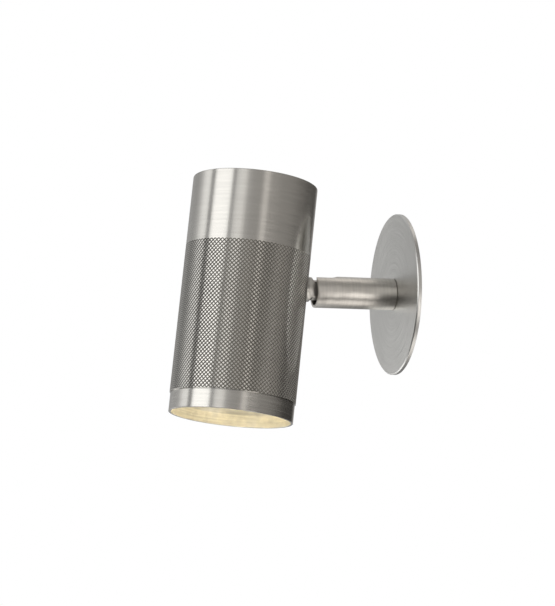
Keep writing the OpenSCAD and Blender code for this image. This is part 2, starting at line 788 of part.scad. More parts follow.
module head_earth_tag()
    color(zinc) on_head_axis() translate([0, earth_back, arm_top]) difference() {
        union() {
            cylinder(r = holder_screw_d / 2 + tag_margin, h = tag_t);
            translate([-tag_w / 2, -tag_l, 0]) cube([tag_w, tag_l, tag_t]);
        }
        translate([0, 0, -1]) cylinder(r = holder_screw_d / 2 + seat_gap, h = tag_t + 2);
    }

module head_earth_screw()
    color(brass) on_head_axis() translate([0, earth_back, arm_top + tag_t])
        slotted_screw(holder_screw_d, tag_t + bracket_t + small_nut_t + screw_proud,
            screw_head_d, screw_head_h);

module head_earth_nut()
    color(brass) on_head_axis() translate([0, earth_back, arm_low - small_nut_t])
        hex_nut(small_nut_af, small_nut_t, holder_screw_d / 2 + seat_gap);

// Lamp, twists to lock

module lamp_base()
    color(warm_white) on_head_axis() difference() {
        union() {
            translate([0, 0, lamp_top - lamp_plug_h])
                cylinder(r = lamp_neck_r, h = lamp_plug_h - lamp_neck_edge);
            translate([0, 0, lamp_top - lamp_neck_edge])
                cylinder(r1 = lamp_neck_r, r2 = lamp_neck_r - lamp_neck_edge, h = lamp_neck_edge);
        }
        for (s = [0, 180]) rotate(s) translate([pin_r, 0, lamp_top - lamp_pin_sunk])
            cylinder(r = pin_neck_d / 2 + seat_gap, h = lamp_pin_sunk + 1);
    }

module lamp_pins()
    color(zinc) on_head_axis() for (s = [0, 180]) rotate(s) {
        translate([pin_r, 0, lamp_top - lamp_pin_sunk])
            cylinder(d = pin_neck_d, h = pin_head_low - lamp_top + lamp_pin_sunk + eps);
        translate([pin_r, 0, pin_head_low]) cylinder(d = pin_head_d, h = pin_head_h);
    }

module lamp_housing()
    color(warm_white) on_head_axis() difference() {
        union() {
            translate([0, 0, lamp_face]) cylinder(r = lamp_r, h = lamp_rim_h);
            translate([0, 0, lamp_face + lamp_rim_h])
                cylinder(r1 = lamp_r, r2 = lamp_neck_r + lamp_shoulder,
                    h = lamp_l - lamp_rim_h - lamp_plug_h);
        }
        translate([0, 0, lamp_face - 1]) cylinder(r = lamp_r - lamp_wall, h = lamp_rim_h + 1);
        translate([0, 0, lamp_face + lamp_rim_h - eps])
            cylinder(r1 = lamp_r - lamp_wall, r2 = lamp_neck_r - lamp_wall,
                h = lamp_l - lamp_rim_h - lamp_plug_h - lamp_wall);
    }

module lamp_led_board()
    color("#d8dcdc") on_head_axis() translate([0, 0, lamp_face + board_low])
        cylinder(r = lamp_r - lamp_wall - seat_gap, h = board_t);

module lamp_leds()
    color("#f6e27a") on_head_axis() for (i = [0:6])
        rotate(i * 60) translate([i == 6 ? 0 : led_ring, 0, lamp_face + board_low - led_t / 2])
            cube([led_size, led_size, led_t], center = true);

module lamp_lens()
    color([0.97, 0.95, 0.88, 0.8]) on_head_axis() {
        translate([0, 0, lamp_face])
            cylinder(r1 = lens_r - lens_edge, r2 = lens_r, h = lens_edge);
        translate([0, 0, lamp_face + lens_edge]) cylinder(r = lens_r, h = lens_t - lens_edge);
    }

wall_plate();
mounting_strap();
hollow_nipple();
nipple_nut();
nipple_lock_washer();
stem_hub();
hub_o_ring();
hub_stop_pin();
strap_earth_screw();
strap_earth_tag();
terminal_block();
terminal_screws();
terminal_fixing_screw();
wall_live_lead();
wall_neutral_lead();
wall_earth_lead();
stem_tube();
hinge_fork();
trunnion_screws();
friction_washers();
stem_set_screws();
stem_live_lead();
stem_neutral_lead();
stem_earth_lead();
swivel_knuckle();
knuckle_dowel();
head_tube();
top_cap();
trim_ring();
saddle_washer();
stud_lock_washer();
stud_nut();
lampholder_bracket();
lampholder_body();
lampholder_contacts();
lampholder_screws();
head_live_lead();
head_neutral_lead();
head_earth_lead();
head_earth_tag();
head_earth_screw();
head_earth_nut();
lamp_base();
lamp_pins();
lamp_housing();
lamp_led_board();
lamp_leds();
lamp_lens();
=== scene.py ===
# %% [markdown]
# # An adjustable tube wall light in brushed steel
#
# A round plate hides the wall box, a short stem turns on a hub behind it, and a tube head tilts
# on a hinge in the stem's open end. The lower part of the head is knurled, as tool handles are,
# and a twist-lock lamp lights its mouth. The construction comes in as a fixed frame. This file
# gives every piece its surface: most keep their shape and get eased edges and a material, and
# the ones that show most are turned or rolled here again with their fine detail.

# %% Load the frame
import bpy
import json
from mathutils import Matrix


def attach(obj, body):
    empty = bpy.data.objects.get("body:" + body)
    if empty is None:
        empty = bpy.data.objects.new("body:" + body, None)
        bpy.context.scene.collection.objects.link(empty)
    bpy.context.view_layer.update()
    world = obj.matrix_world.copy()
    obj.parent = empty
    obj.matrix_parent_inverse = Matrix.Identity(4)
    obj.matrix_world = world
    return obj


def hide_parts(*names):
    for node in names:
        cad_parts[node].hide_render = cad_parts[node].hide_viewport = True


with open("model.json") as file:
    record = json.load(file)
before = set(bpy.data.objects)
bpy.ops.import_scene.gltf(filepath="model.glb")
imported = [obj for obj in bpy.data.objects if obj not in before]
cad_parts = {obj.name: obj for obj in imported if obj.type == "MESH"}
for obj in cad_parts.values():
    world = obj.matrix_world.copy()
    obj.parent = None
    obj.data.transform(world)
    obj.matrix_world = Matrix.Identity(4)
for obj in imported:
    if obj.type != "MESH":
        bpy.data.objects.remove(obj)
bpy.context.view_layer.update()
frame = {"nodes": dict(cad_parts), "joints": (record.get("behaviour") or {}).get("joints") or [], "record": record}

import json
import math
from collections import namedtuple

import bmesh
import bpy
from mathutils import Matrix, Vector

MM = 0.001

# %% [markdown]
# ## Two places to work in
#
# The stem and the plate are turned about a line square to the wall, and the head about its own
# leaning axis. A matrix for each lets the profiles below be written as on a lathe, with radius
# and height, and then puts them where the frame has them. The head's axis is the line about
# which the lamp twists, so it is read from that joint and no angle is written twice.

# %% Places
JOINTS = {joint["name"]: joint for joint in frame["joints"]}
HEAD_AXIS = Vector(JOINTS["lamp_twist"]["axis"])
HEAD_CENTRE = Vector(JOINTS["lamp_twist"]["pos_m"])
ACROSS = Vector((1, 0, 0))
HEAD = Matrix.Translation(HEAD_CENTRE) @ Matrix(
    (ACROSS, HEAD_AXIS.cross(ACROSS), HEAD_AXIS)).transposed().to_4x4()
WALL = Matrix.Rotation(math.radians(90), 4, "X")
WALL_AXIS = Vector((0, -1, 0))

Turned = namedtuple("Turned", "out bore low high")


def measured(node, place):
    """Radii and ends of a frame node about the z axis of a place, in millimetres."""
    back = place.inverted()
    points = [back @ v.co / MM for v in frame["nodes"][node].data.vertices]
    radii = [math.hypot(p.x, p.y) for p in points]
    heights = [p.z for p in points]
    return Turned(max(radii), min(radii), min(heights), max(heights))


TUBE = measured("head_tube", HEAD)
RING = measured("trim_ring", HEAD)
CAP = measured("top_cap", HEAD)
PLATE = measured("wall_plate", WALL)
LENS = measured("lamp_lens", HEAD)
print("tube", TUBE)
print("plate", PLATE)

# %% [markdown]
# ## The camera
#
# The photograph looks along the wall from a little below, so the plate is a narrow ellipse.
# The camera is given as the place it looks at, the pixel at which that place is seen, the
# distance and three angles.

# %% Camera
PHOTO_W = 555
PHOTO_H = 606
FOCAL_PX = 2375.5
SENSOR_MM = 36
AZIMUTH = math.radians(75.064)
ELEVATION = math.radians(-9.259)
ROLL = math.radians(-0.549)
DISTANCE = 1.22702
TARGET = Vector((0, -0.085, 0))
TARGET_PX = (239.804, 289.198)
CLIP_START = 0.01


def linked(name, data):
    """A new object, linked to the scene."""
    made = bpy.data.objects.new(name, data)
    bpy.context.scene.collection.objects.link(made)
    return made


def add_camera():
    """Puts the camera where the measured angles have it."""
    back = Vector((math.sin(AZIMUTH) * math.cos(ELEVATION),
                   -math.cos(AZIMUTH) * math.cos(ELEVATION),
                   math.sin(ELEVATION)))
    level = (-back).cross(Vector((0, 0, 1))).normalized()
    upright = level.cross(-back)
    right = math.cos(ROLL) * level + math.sin(ROLL) * upright
    up = math.cos(ROLL) * upright - math.sin(ROLL) * level
    beside = (TARGET_PX[0] - PHOTO_W / 2) / FOCAL_PX * DISTANCE
    above = (PHOTO_H / 2 - TARGET_PX[1]) / FOCAL_PX * DISTANCE
    data = bpy.data.cameras.new("photo_camera")
    data.sensor_width = SENSOR_MM
    data.lens = FOCAL_PX / PHOTO_H * SENSOR_MM
    data.clip_start = CLIP_START
    camera = linked("photo_camera", data)
    turn = Matrix((right, up, back)).transposed().to_4x4()
    where = TARGET - right * beside - up * above + back * DISTANCE
    camera.matrix_world = Matrix.Translation(where) @ turn
    bpy.context.scene.camera = camera
    print("camera at", [round(x, 3) for x in where], "lens", round(data.lens, 1), "mm")


add_camera()

# %% [markdown]
# ## Writing nodes as code
#
# Materials and Geometry Nodes are both trees of nodes. `Sheet.add` makes any node from its
# type, its settings and the values or links of its sockets, and the methods after it are for
# the nodes that come up most. `Value` wraps an output, and its operators add Math nodes, so a
# formula reads as a formula.

# %% Node helpers
class Value:
    """An output socket that can stand in a formula."""

    def __init__(self, sheet, node, socket):
        self.sheet = sheet
        self.node = node
        self.socket = socket

    def __getitem__(self, name):
        return Value(self.sheet, self.node, self.node.outputs[name])

    def math(self, operation, *others):
        return self.sheet.maths(operation, self, *others)

    def __add__(self, other):
        return self.math("ADD", other)

    def __sub__(self, other):
        return self.math("SUBTRACT", other)

    def __rsub__(self, other):
        return self.sheet.maths("SUBTRACT", other, self)

    def __mul__(self, other):
        return self.math("MULTIPLY", other)

    def __truediv__(self, other):
        return self.math("DIVIDE", other)

    def __rtruediv__(self, other):
        return self.sheet.maths("DIVIDE", other, self)

    __radd__ = __add__
    __rmul__ = __mul__


class Sheet:
    """A node tree that is written as code."""

    def __init__(self, tree):
        self.tree = tree
        self.tree.nodes.clear()

    def add(self, kind, settings=None, sockets=None):
        node = self.tree.nodes.new(kind)
        for name, setting in (settings or {}).items():
            if name == "stops":
                set_stops(node.color_ramp, setting)
            else:
                setattr(node, name, setting)
        for key, value in (sockets or {}).items():
            if isinstance(value, Value):
                self.tree.links.new(value.socket, node.inputs[key])
            else:
                node.inputs[key].default_value = value
        return Value(self, node, node.outputs[0] if node.outputs else None)

    def maths(self, operation, *values):
        return self.add("ShaderNodeMath", {"operation": operation}, dict(enumerate(values)))

    def vector(self, operation, *values):
        return self.add("ShaderNodeVectorMath", {"operation": operation}, dict(enumerate(values)))

    def scaled(self, vector, factor):
        return self.add("ShaderNodeVectorMath", {"operation": "SCALE"},
                        {"Vector": vector, "Scale": factor})

    def dot(self, a, b):
        return self.vector("DOT_PRODUCT", a, b)["Value"]

    def noise(self, vector, scale=1.0, detail=2.0, roughness=0.5):
        return self.add("ShaderNodeTexNoise", {"noise_dimensions": "3D"},
                        {"Vector": vector, "Scale": scale, "Detail": detail,
                         "Roughness": roughness})

    def ranged(self, value, low, high, kind="SMOOTHSTEP"):
        """0 where the value is low, 1 where it is high, and held beyond."""
        return self.add("ShaderNodeMapRange", {"interpolation_type": kind},
                        {"Value": value, "From Min": low, "From Max": high})

    def mixed(self, factor, a, b):
        """Colour a where the factor is 0 and b where it is 1."""
        return self.add("ShaderNodeMix", {"data_type": "RGBA", "clamp_factor": True},
                        {0: factor, 6: a, 7: b})[2]

    def surface(self, sockets):
        """Ends the tree of a material with a principled surface."""
        shader = self.add("ShaderNodeBsdfPrincipled", {}, sockets)
        self.add("ShaderNodeOutputMaterial", {}, {"Surface": shader})


def new_material(name):
    """An empty material and the sheet that its nodes are written on."""
    material = bpy.data.materials.new(name)
    material.use_nodes = True
    return material, Sheet(material.node_tree)


def set_stops(ramp, stops):
    """Stops are (place, colour), from 0 to 1 and in order."""
    while len(ramp.elements) < len(stops):
        ramp.elements.new(1.0)
    for element, (place, colour) in zip(ramp.elements, stops):
        element.position = place
        element.color = colour


def grey(value):
    return (value, value, value, 1.0)


def rgb(red, green, blue):
    return (red, green, blue, 1.0)


# %% [markdown]
# ## The studio
#
# Brushed metal has no colour of its own to speak of: it shows the room. Product photographers
# hang white and dark panels round the object, and each becomes an upright stripe on the tube.
# Here the panels are painted on the world, as rings of light at seven heights, each a list of
# compass directions and strengths. They light everything, and only the camera sees plain
# white in their place. Two soft lamps help on matt surfaces, and a pale floor well below
# catches the shadow and turns white far away, so that it has no edge.

# %% Panels round the object
# Each ring lists bearings in degrees from the camera's own and the strength of light there.
LEVEL = [
    (-180, 0.42), (-130, 0.40), (-116, 0.62), (-103, 1.20), (-90, 1.35), (-86, 0.26),
    (-79, 0.26), (-76, 1.75), (-42, 1.75), (-38, 0.28), (-35, 0.36), (-31, 0.95),
    (-24, 1.15), (-15, 1.10), (-9, 0.60), (0, 0.48), (17, 0.43), (21, 0.86), (27, 0.80),
    (32, 0.42), (80, 0.36), (106, 0.31), (124, 0.22), (150, 0.12), (166, 0.40), (180, 0.42),
]
LOW = [
    (-180, 0.42), (-145, 0.50), (-141, 1.45), (-123, 1.45), (-118, 0.20), (-84, 0.22),
    (-79, 0.28), (-76, 1.75), (-41, 1.75), (-38, 0.24), (-35, 0.24), (-32, 0.80),
    (-24, 1.00), (-15, 0.98), (-9, 0.50), (0, 0.45), (17, 0.42), (21, 0.86), (27, 0.80),
    (32, 0.40), (70, 0.30), (95, 0.14), (112, 0.05), (150, 0.05), (166, 0.40), (180, 0.42),
]
GROUND = [
    (-180, 0.30), (-158, 0.40), (-150, 1.60), (-123, 1.60), (-112, 0.20), (-60, 0.08),
    (18, 0.05), (25, 2.10), (44, 2.10), (50, 0.06), (110, 0.04), (150, 0.04), (180, 0.25),
]
DEEP = [
    (-180, 0.30), (-165, 1.50), (-130, 1.50), (-100, 0.12), (-60, 0.06), (26, 0.05),
    (38, 0.35), (110, 0.35), (130, 0.10), (180, 0.30),
]
BELOW = [(-180, 0.50), (20, 0.30), (40, 1.50), (130, 1.50), (150, 0.50), (180, 0.50)]
CEILING = [
    (-180, 0.60), (-150, 0.60), (-100, 0.60), (-84, 0.20), (-60, 0.14), (6, 0.26), (24, 0.36),
    (42, 0.36), (64, 0.12), (90, 0.25), (140, 0.25), (160, 0.60), (180, 0.60),
]
TOP = [
    (-180, 0.50), (-100, 0.35), (-76, 0.45), (-56, 1.10), (-20, 1.10), (4, 0.30), (62, 0.30),
    (76, 1.10), (150, 1.10), (170, 0.50), (180, 0.50),
]
# The tint is the share of blue by bearing. A ring takes over from the one below it between
# its two heights, which are in degrees above the horizon.
TINT = [(-180, 1.0), (-40, 1.0), (20, 0.93), (150, 0.90), (180, 1.0)]
HEIGHTS = [
    (-66, -58, DEEP), (-47, -40, GROUND), (-14, -8, LOW), (4, 9, LEVEL), (25, 40, CEILING),
    (60, 68, TOP),
]
CAMERA_BEARING = AZIMUTH - math.pi / 2


def paint_world():
    """Blends the rings from the lowest up and turns them to the camera's bearing."""
    world = bpy.data.worlds.new("studio")
    bpy.context.scene.world = world
    world.use_nodes = True
    sheet = Sheet(world.node_tree)
    way = sheet.add("ShaderNodeTexCoord")["Generated"]
    swung = sheet.add("ShaderNodeVectorRotate", {"rotation_type": "Z_AXIS"},
                      {"Vector": way, "Angle": -CAMERA_BEARING})
    apart = sheet.add("ShaderNodeSeparateXYZ", {}, {"Vector": swung})
    bearing = sheet.maths("ARCTAN2", apart["Y"], apart["X"]) / (2 * math.pi) + 0.5

    def ring_of(stops, colour=grey):
        placed = [((degrees + 180) / 360, colour(light)) for degrees, light in stops]
        return sheet.add("ShaderNodeValToRGB", {"stops": placed}, {"Fac": bearing})

    def between(low, high):
        return sheet.ranged(apart["Z"], math.sin(math.radians(low)), math.sin(math.radians(high)))

    mirrored = ring_of(BELOW)
    for low, high, stops in HEIGHTS:
        mirrored = sheet.mixed(between(low, high), mirrored, ring_of(stops))
    warmth = ring_of(TINT, lambda blue: rgb(1.0, (1 + blue) / 2, blue))
    mirrored = sheet.vector("MULTIPLY", mirrored, warmth)
    path = sheet.add("ShaderNodeLightPath")
    seen = sheet.maths("MAXIMUM", path["Is Camera Ray"], path["Is Transmission Ray"])
    colour = sheet.mixed(seen, mirrored, grey(1.0))
    light = sheet.add("ShaderNodeBackground", {}, {"Color": colour, "Strength": 1.0})
    sheet.add("ShaderNodeOutputWorld", {}, {"Surface": light})
    print("world painted at", len(HEIGHTS) + 1, "heights")


paint_world()

# %% Lamps and floor
# Lengths are in metres. A lamp has its radiance and its place.
FLOOR_DROP = 0.45
FLOOR_SIZE = 24.0
FLOOR_FADE = (1.2, 4.0)
FLOOR_CLOUDS = 3.0
FLOOR_TONES = (0.86, 0.90)
FLOOR_LIFT = 0.14
LAMP_SIZE = 1.2
LAMP_AIM = (0, -0.05, 0)
LAMPS = {"key_lamp": (2.4, (0.9, -1.2, 1.1)), "fill_lamp": (1.4, (1.2, 1.0, 0.6))}


def add_lamp(name, radiance, where):
    """Soft square lamp of a given brightness; the panels stand for it in the metal."""
    data = bpy.data.lights.new(name, "AREA")
    data.shape = "SQUARE"
    data.size = LAMP_SIZE
    data.energy = math.pi * LAMP_SIZE * LAMP_SIZE * radiance
    lamp = linked(name, data)
    facing = (Vector(LAMP_AIM) - Vector(where)).to_track_quat("-Z", "Y")
    lamp.matrix_world = Matrix.Translation(where) @ facing.to_matrix().to_4x4()
    lamp.visible_camera = False
    lamp.visible_glossy = False


def add_floor():
    """Pale floor that takes the shadow near the light and fades to white for the camera."""
    mesh = bpy.data.meshes.new("floor")
    half = FLOOR_SIZE / 2
    corners = [(-half, -half), (half, -half), (half, half), (-half, half)]
    mesh.from_pydata([(x, y, -FLOOR_DROP) for x, y in corners], [], [(0, 1, 2, 3)])
    floor = linked("floor", mesh)
    material, sheet = new_material("pale_floor")
    place = sheet.add("ShaderNodeTexCoord")["Object"]
    cloud = sheet.noise(place, scale=FLOOR_CLOUDS)
    away = sheet.ranged(sheet.vector("LENGTH", place)["Value"], *FLOOR_FADE)
    paint = sheet.mixed(cloud, *(grey(tone) for tone in FLOOR_TONES))
    seen = sheet.add("ShaderNodeLightPath")["Is Camera Ray"]
    lift = sheet.scaled(sheet.mixed(away, grey(FLOOR_LIFT), grey(1.0)), seen)
    sheet.surface({"Base Color": sheet.mixed(away, paint, grey(0.0)), "Roughness": 0.9,
                   "Specular IOR Level": 0.0, "Emission Color": lift,
                   "Emission Strength": 1.0})
    mesh.materials.append(material)
    floor.visible_glossy = False


for lamp_name, (radiance, where) in LAMPS.items():
    add_lamp(lamp_name, radiance, where)
add_floor()
bpy.context.scene.view_settings.view_transform = "Standard"
print("lamps:", ", ".join(LAMPS))

# %% [markdown]
# ## Steel as it comes off the lathe
#
# A turned piece is brushed while it spins, so its lines run round the axis: along the tube's
# wall they are level rings, and on a flat face they are circles. Each line is far thinner
# than a pixel and tips the surface a little across itself, which smears every reflection
# across the lines and leaves it sharp along them. That smear is what reads as brushed. The
# lines come from one stretched noise: fine along `height + radius`, coarse round the axis.
# They tilt the Normal, and stay in object space so that they travel with the piece. Knurled
# steel is the same with one thing more: towards the bottoms of its grooves it gets duller, and
# its colour darker as painted shade.

# %% Brushed steel
# How much coarser the broad lines are, and what share of the colour the clouds have.
NOISE_MIDDLE = (0.35, 0.65)
BROAD_LINES = 5
CLOUD_SIZE = 18 * MM
CLOUD_SHARE = 0.4
GLOSS_RANGE = 0.06


def spread(value):
    """The middle of a noise's range, drawn out to the whole of 0 to 1."""
    return value.sheet.ranged(value, *NOISE_MIDDLE, kind="LINEAR")


def turned_lines(sheet, centre, axis, fine, coarse):
    """Fine and broad noise that runs in rings about an axis, with what lies across the rings."""
    coords = sheet.add("ShaderNodeTexCoord")
    point = sheet.vector("SUBTRACT", coords["Object"], centre)
    normal = coords["Normal"]
    height = sheet.dot(point, axis)
    outward = sheet.vector("SUBTRACT", point, sheet.scaled(axis, height))
    radius = sheet.vector("LENGTH", outward)["Value"]
    out = sheet.vector("NORMALIZE", outward)

    def rings(thickness, detail):
        stretched = sheet.vector("ADD", sheet.scaled(outward, 1 / coarse),
                                 sheet.scaled(axis, (height + radius) / thickness))
        return sheet.noise(stretched, detail=detail)

    lines = rings(fine, 1.0)
    broad = rings(BROAD_LINES * fine, 3.0)
    across = sheet.vector("SUBTRACT", sheet.scaled(out, sheet.dot(normal, axis)),
                          sheet.scaled(axis, sheet.dot(normal, out)))
    return normal, point, radius, lines, broad, across


def brushed(name, centre, axis, colour, rough, tilt, waves=0.0, wave_size=8 * MM,
            fine=0.22 * MM, coarse=22 * MM, anisotropic=0.0, dirt=0.04, metallic=1.0,
            groove=None):
    """Brushed steel; tilt is how far a line tips the surface, waves how uneven it is.

    A groove is the radius of the lands, the depth below them, and what the bottom is like:
    how much of the colour is left there under the painted shade, and how rough it is.
    """
    material, sheet = new_material(name)
    normal, point, radius, lines, broad, across = turned_lines(sheet, centre, axis, fine, coarse)
    tipped = sheet.vector("ADD", normal, sheet.scaled(across, (lines - 0.5) * tilt))
    if waves:
        swell = sheet.noise(point, scale=1 / wave_size, detail=2.0)["Color"]
        lean = sheet.vector("SUBTRACT", swell, (0.5, 0.5, 0.5))
        tipped = sheet.vector("ADD", tipped, sheet.scaled(lean, waves))
    world = sheet.add("ShaderNodeVectorTransform",
                      {"vector_type": "NORMAL", "convert_from": "OBJECT", "convert_to": "WORLD"},
                      {"Vector": tipped})
    cloud = sheet.noise(point, scale=1 / CLOUD_SIZE, detail=3.0)
    dark = rgb(*(c * (1 - dirt) for c in colour))
    light = rgb(*(c * (1 + dirt) for c in colour))
    base = sheet.mixed(spread(cloud * CLOUD_SHARE + broad * (1 - CLOUD_SHARE)), dark, light)
    gloss = cloud * GLOSS_RANGE + (rough - GLOSS_RANGE / 2)
    # Towards the bottoms of the grooves the colour is painted darker: painted shade.
    if groove:
        land, depth, painted_shade_kept, bottom_rough = groove
        deep_shade_and_gloss = ((land - radius) / depth).math("MAXIMUM", 0.0).math("MINIMUM", 1.0)
        base = sheet.mixed(deep_shade_and_gloss, base, rgb(*(c * painted_shade_kept for c in colour)))
        gloss = gloss + deep_shade_and_gloss * (bottom_rough - rough)
    sheet.surface({"Base Color": base, "Metallic": metallic, "Roughness": gloss,
                   "Anisotropic": anisotropic, "Anisotropic Rotation": 0.25, "Normal": world})
    return material


STEEL = (0.60, 0.585, 0.55)
KNURL_DEPTH = 0.36
HEAD_STEEL = brushed("head_steel", HEAD_CENTRE, HEAD_AXIS, STEEL, rough=0.23, tilt=0.24,
                     anisotropic=0.7)
TRIM_STEEL = brushed("trim_steel", HEAD_CENTRE, HEAD_AXIS, STEEL, rough=0.22, tilt=0.30,
                     anisotropic=0.7)
STEM_STEEL = brushed("stem_steel", Vector(), WALL_AXIS, (0.70, 0.675, 0.63), rough=0.36,
                     tilt=0.16, waves=0.16, wave_size=4 * MM, dirt=0.08)
PLATE_STEEL = brushed("plate_steel", Vector(), WALL_AXIS, (0.68, 0.675, 0.65), rough=0.34,
                      tilt=0.6, fine=0.10 * MM, coarse=30 * MM)
KNUCKLE_STEEL = brushed("knuckle_steel", Vector(), WALL_AXIS, STEEL, rough=0.34, tilt=0.25,
                        waves=0.15)
# At the bottoms of the knurl's grooves 0.70 of the colour is left: painted shade.
KNURL_STEEL = brushed("knurl_steel", HEAD_CENTRE, HEAD_AXIS, STEEL, rough=0.15,
                      tilt=0.06, groove=(TUBE.out * MM, KNURL_DEPTH * MM, 0.70, 0.20))
# The bore's paler, warmer colour is painted warm lamp light, on top of the lens's real light.
LAMPLIT_BORE_STEEL = brushed("lamplit_bore_steel", HEAD_CENTRE, HEAD_AXIS, (0.84, 0.805, 0.67), rough=0.42,
                     tilt=0.25, waves=0.60, wave_size=3.5 * MM, dirt=0.18, metallic=0.4)
# The stem's inside is a darker copy of its steel: painted shade inside the tube.
SHADED_STEM_BORE = brushed("shaded_stem_bore", Vector(), WALL_AXIS, (0.40, 0.38, 0.35), rough=0.45, tilt=0.2)
DARK_STEEL = brushed("dark_steel", Vector(), WALL_AXIS, (0.30, 0.29, 0.28), rough=0.33,
                     tilt=0.20, waves=0.10, dirt=0.15)

# %% [markdown]
# ## Everything else the light is made of
#
# Zinc plating is faintly clouded, cut brass is warmer where it has tarnished, moulded nylon is
# never one even colour, and glazed steatite has a skin of glass over it. One recipe covers
# them: two noises of different size mix a darker and a lighter tone of the same stuff, change
# its gloss a little, and raise it by a few hundredths of a millimetre.

# %% Clouded surfaces
# How much finer the second noise is, what share of the colour it has, how much each noise
# changes the gloss, and how far a stripe reaches round.
FINE_PER_GRAIN = 9
FINE_SHARE = 0.3
CLOUD_GLOSS = 0.10
FINE_GLOSS = 0.06
STRIPE_FROM = 0.45


def clouded(name, dark, light, rough, grain, metallic=0.0, relief=0.01 * MM, coat=0.0,
            stripe=None):
    """A surface that varies between two tones; a stripe is a colour and the side it is on."""
    material, sheet = new_material(name)
    coords = sheet.add("ShaderNodeTexCoord")
    cloud = spread(sheet.noise(coords["Object"], scale=1 / grain, detail=3.0))
    fine = spread(sheet.noise(coords["Object"], scale=FINE_PER_GRAIN / grain, detail=2.0))
    base = sheet.mixed(cloud * (1 - FINE_SHARE) + fine * FINE_SHARE, rgb(*dark), rgb(*light))
    if stripe:
        colour, side = stripe
        facing = sheet.dot(coords["Normal"], side).math("GREATER_THAN", STRIPE_FROM)
        base = sheet.mixed(facing, base, rgb(*colour))
    bump = sheet.add("ShaderNodeBump", {}, {"Height": fine, "Strength": 0.6, "Distance": relief})
    gloss = cloud * CLOUD_GLOSS + fine * FINE_GLOSS + (rough - (CLOUD_GLOSS + FINE_GLOSS) / 2)
    sheet.surface({"Base Color": base, "Metallic": metallic, "Coat Weight": coat,
                   "Roughness": gloss, "Normal": bump})
    return material


ZINC = clouded("zinc_plate", (0.58, 0.60, 0.64), (0.77, 0.78, 0.80), rough=0.34,
               grain=2.5 * MM, metallic=1.0)
BRASS = clouded("brass", (0.70, 0.54, 0.26), (0.85, 0.71, 0.40), rough=0.28, grain=3 * MM,
                metallic=1.0)
RUBBER = clouded("rubber", (0.030, 0.030, 0.030), (0.060, 0.060, 0.058), rough=0.62,
                 grain=1.5 * MM, relief=0.03 * MM)
NYLON = clouded("nylon", (0.82, 0.80, 0.74), (0.91, 0.90, 0.86), rough=0.45, grain=3 * MM)
CERAMIC = clouded("steatite", (0.82, 0.79, 0.71), (0.91, 0.89, 0.83), rough=0.32,
                  grain=5 * MM, relief=0.02 * MM, coat=0.5)
TERMINAL = clouded("terminal_nylon", (0.78, 0.76, 0.70), (0.88, 0.87, 0.82), rough=0.40,
                   grain=4 * MM, relief=0.02 * MM)
SHELL = clouded("lamp_shell", (0.84, 0.81, 0.72), (0.92, 0.90, 0.83), rough=0.34,
                grain=6 * MM, coat=0.2)
BOARD = clouded("led_board", (0.84, 0.86, 0.85), (0.93, 0.94, 0.93), rough=0.38,
                grain=2 * MM, coat=0.3)
PHOSPHOR = clouded("phosphor", (0.90, 0.70, 0.20), (0.97, 0.84, 0.38), rough=0.50,
                   grain=1 * MM)
BROWN = clouded("brown_lead", (0.20, 0.09, 0.04), (0.28, 0.14, 0.07), rough=0.44, grain=3 * MM)
BLUE = clouded("blue_lead", (0.06, 0.16, 0.42), (0.10, 0.23, 0.54), rough=0.44, grain=3 * MM)
GREEN = clouded("green_lead", (0.16, 0.36, 0.06), (0.23, 0.46, 0.10), rough=0.44,
                grain=3 * MM, stripe=((0.86, 0.70, 0.10), (0.8, 0.0, 0.6)))

# %% [markdown]
# ## The lit lamp
#
# Seven small emitters sit behind a frosted lens, one in the middle and six round it. The lens
# spreads each into a bright soft spot and glows faintly between them. The six lie 60 degrees
# apart, so the turn is folded to half of that and one distance serves for all of them. The
# lens's own face, and not a separate lamp, lights the inside of the mouth, so the glow tilts
# with the head.

# %% Lens
LED_RING = 12 * MM
LED_CORE = 2.0 * MM
LED_EDGE = 4.4 * MM
LED_FOLD = math.radians(30)
LENS_LOW = 0.8
LENS_HIGH = 11.7
LENS_TONES = (rgb(1.0, 0.825, 0.57), rgb(1.0, 0.86, 0.63))
FROST_SIZE = 0.8 * MM
FROST_RANGE = 0.12


def glowing_lens():
    """Frosted face with a bright spot over each emitter."""
    material, sheet = new_material("lit_lens")
    point = sheet.vector("SUBTRACT", sheet.add("ShaderNodeTexCoord")["Object"], HEAD_CENTRE)
    x = sheet.dot(point, ACROSS)
    y = sheet.dot(point, HEAD_AXIS.cross(ACROSS))
    from_middle = x * x + y * y
    radius = from_middle.math("SQRT")
    turn = sheet.maths("PINGPONG", sheet.maths("ARCTAN2", y, x), LED_FOLD)
    from_ring = from_middle + LED_RING ** 2 - radius * turn.math("COSINE") * (2 * LED_RING)

    def glow(squared):
        return sheet.ranged(squared, LED_EDGE ** 2, LED_CORE ** 2)

    bright = (glow(from_middle) + glow(from_ring)).math("MINIMUM", 1.0)
    frost = spread(sheet.noise(point, scale=1 / FROST_SIZE, detail=2.0))
    uneven = frost * FROST_RANGE + (1 - FROST_RANGE / 2)
    level = (bright * (LENS_HIGH - LENS_LOW) + LENS_LOW) * uneven
    tone = sheet.mixed(bright, *LENS_TONES)
    sheet.surface({"Base Color": rgb(0.85, 0.82, 0.74), "Roughness": frost * 0.1 + 0.4,
                   "Emission Color": sheet.scaled(tone, level), "Emission Strength": 1.0})
    return material


LENS_GLOW = glowing_lens()
print("materials:", len(bpy.data.materials))

# %% [markdown]
# ## Turning a profile
#
# A lathe part is its half section, turned. The section is a closed list of corners, each with
# the radius that eases it, because no real edge is dead sharp and the eased edge is what
# catches the light. Beside each easing lies one more point, which keeps the smooth shading of
# the edge from spreading over the flat face next to it.

# %% Lathe
# The extra point lies HOLD millimetres from its easing, on sides with room for HOLD_ROOM of
# them. DONE collects the frame's nodes that already have their piece.
EASE_STEPS = 4
HOLD = 0.12
HOLD_ROOM = 4
MERGE = 0.0005 * MM
DONE = set()


